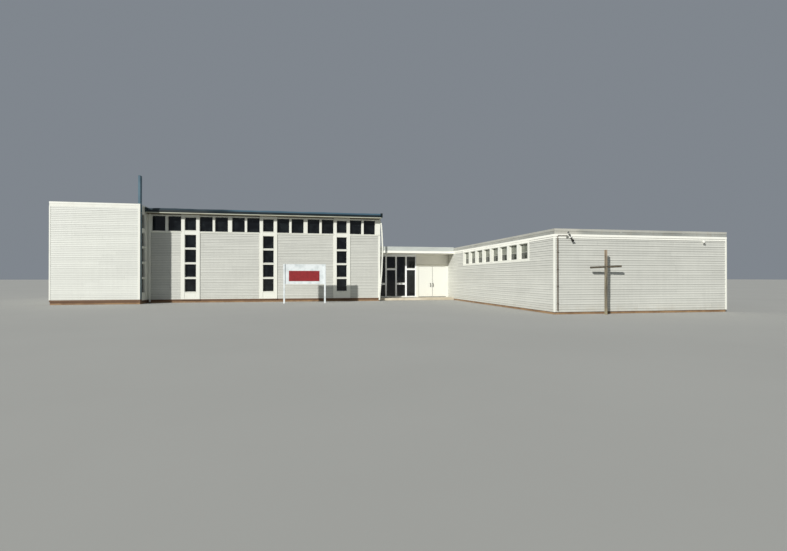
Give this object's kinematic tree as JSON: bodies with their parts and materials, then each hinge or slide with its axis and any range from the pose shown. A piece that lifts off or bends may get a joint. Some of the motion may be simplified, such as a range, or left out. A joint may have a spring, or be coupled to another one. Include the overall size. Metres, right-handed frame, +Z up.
{
  "type": "modern church building",
  "caption": "Single-storey modern church: tall hall with clerestory and window strips, windowless block, glazed entrance with double doors, low flat-roofed wing, timber cross.",
  "frame": {"origin": "middle of the bounding box at ground level", "axes": "+Z up, the front faces -Y, +X to the right seen from the front"},
  "size_m": [32.11, 24.7524, 7.33],
  "materials": {
    "siding_grey": "light warm grey lap siding, 4 inch exposure, satin",
    "siding_white": "off-white lap siding, 4 inch exposure, satin",
    "white_trim": "white painted boards",
    "dark_glass": "dark sealed glazing seen from outside",
    "cream_board": "greyish cream painted eave board",
    "dark_roof_edge": "green-black roof edge and gutter",
    "grey_fascia": "weathered grey sheet fascia",
    "roof_membrane": "grey roof membrane",
    "concrete": "stained concrete",
    "door_paint": "white painted steel doors, smooth",
    "pull_metal": "dark pull handles",
    "mast_paint": "grey-white painted post",
    "conduit_metal": "weathered brown conduit",
    "lamp_metal": "white painted lamp housings",
    "weathered_timber": "weathered grey-brown timber, rough sawn",
    "sign_paint": "white painted sign, bare board"
  },
  "bodies": {
    "root": {"hall_front_panel_1": "siding_grey", "hall_front_panel_2": "siding_grey", "hall_front_panel_3": "siding_grey", "hall_front_panel_4": "siding_grey", "back_wall": "siding_grey", "hall_right_wall_upper": "siding_grey", "hall_right_wall_front": "siding_grey", "hall_right_wall_back": "siding_grey", "wing_front_wall": "siding_grey", "wing_back_wall": "siding_grey", "wing_left_wall": "siding_grey", "wing_right_wall": "siding_grey", "lobby_back_wall": "siding_grey", "block_front_wall": "siding_white", "block_left_wall": "siding_white", "bay_frame_1": "white_trim", "bay_frame_2": "white_trim", "bay_frame_3": "white_trim", "block_side_frame": "white_trim", "block_coping": "white_trim", "window_band_frame": "white_trim", "entrance_frame": "white_trim", "door_jamb_left": "white_trim", "door_jamb_right": "white_trim", "over_door_panel": "white_trim", "downspout_left": "white_trim", "downspout_right": "white_trim", "hall_front_glass": "dark_glass", "back_glass": "dark_glass", "block_side_glass": "dark_glass", "wing_right_glass": "dark_glass", "window_band_glass": "dark_glass", "entrance_glass": "dark_glass", "hall_eave_board": "cream_board", "hall_roof": "dark_roof_edge", "wing_roof": "grey_fascia", "entrance_roof": "grey_fascia", "block_roof": "roof_membrane", "floor_slab": "concrete", "porch_slab": "concrete", "corner_mast": "mast_paint", "conduit": "conduit_metal", "floodlight_left": "lamp_metal", "floodlight_right": "lamp_metal", "cross_post": "weathered_timber", "cross_bar": "weathered_timber", "sign_frame": "sign_paint", "sign_board": "sign_paint"},
    "left_leaf": {"left_door": "door_paint", "left_door_pull": "pull_metal"},
    "right_leaf": {"right_door": "door_paint", "right_door_pull": "pull_metal"}
  },
  "joints": [
    {"name": "left_door_hinge", "type": "hinge", "parent": "root", "child": "left_leaf", "pos_m": [5.599, 2.4072, 1.2], "axis": [0, 0, -1], "range_deg": [0, 90]},
    {"name": "right_door_hinge", "type": "hinge", "parent": "root", "child": "right_leaf", "pos_m": [7.566, 2.4072, 1.2], "axis": [0, 0, 1], "range_deg": [0, 90]}
  ]
}
